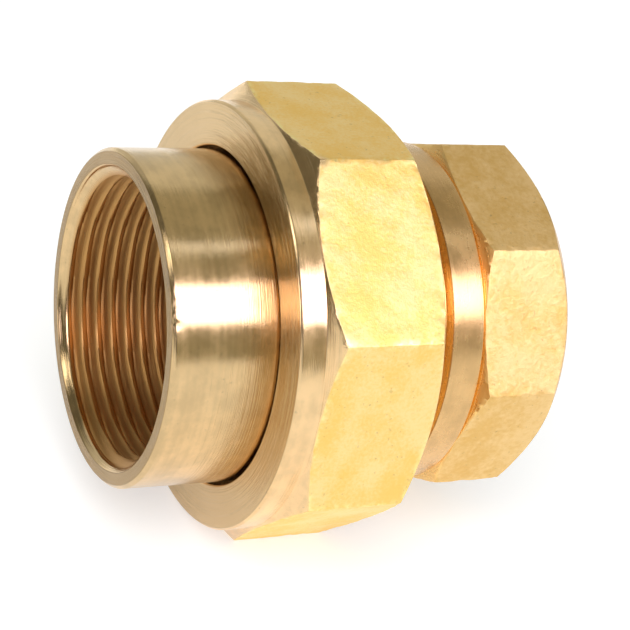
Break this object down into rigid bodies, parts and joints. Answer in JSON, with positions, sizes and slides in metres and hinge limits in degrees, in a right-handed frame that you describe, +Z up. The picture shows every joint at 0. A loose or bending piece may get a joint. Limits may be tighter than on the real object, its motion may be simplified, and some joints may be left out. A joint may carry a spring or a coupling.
{
  "type": "union fitting",
  "caption": "Brass barrel union for pipe: turned barrel tailpiece, octagonal union nut and octagonal-ended body around a flat seal, with a female pipe thread at both ends.",
  "frame": {"origin": "on the surface the fitting lies on, under the middle of its length and of its width", "axes": "+X along the pipe's axis from the barrel to the body's octagonal end, +Z up from the nut's bottom flat"},
  "size_m": [0.0596, 0.061, 0.061],
  "materials": {
    "body_brass": "turned neck, satin forged flats",
    "nut_brass": "satin yellow brass with turned ends",
    "barrel_brass": "turned, bright",
    "seal_rubber": "matt black"
  },
  "bodies": {
    "body": {"body": "body_brass"},
    "seal": {"seal_ring": "seal_rubber"},
    "tailpiece": {"tailpiece": "barrel_brass"},
    "nut": {"union_nut": "nut_brass"}
  },
  "joints": [
    {"name": "union_opening", "type": "slide", "parent": "body", "child": "seal", "axis": [-1, 0, 0], "range_m": [0, 0.0104]},
    {"name": "nut_unscrew", "type": "hinge", "parent": "seal", "child": "nut", "pos_m": [0, 0, 0.0305], "axis": [-1, 0, 0], "range_deg": [0, 1620]},
    {"name": "tail_swivel", "type": "hinge", "parent": "seal", "child": "tailpiece", "pos_m": [0, 0, 0.0305], "axis": [-1, 0, 0], "continuous": true}
  ],
  "couplings": [
    {"joint": "union_opening", "follows": "nut_unscrew", "m_per_rad": 0.00036749}
  ]
}
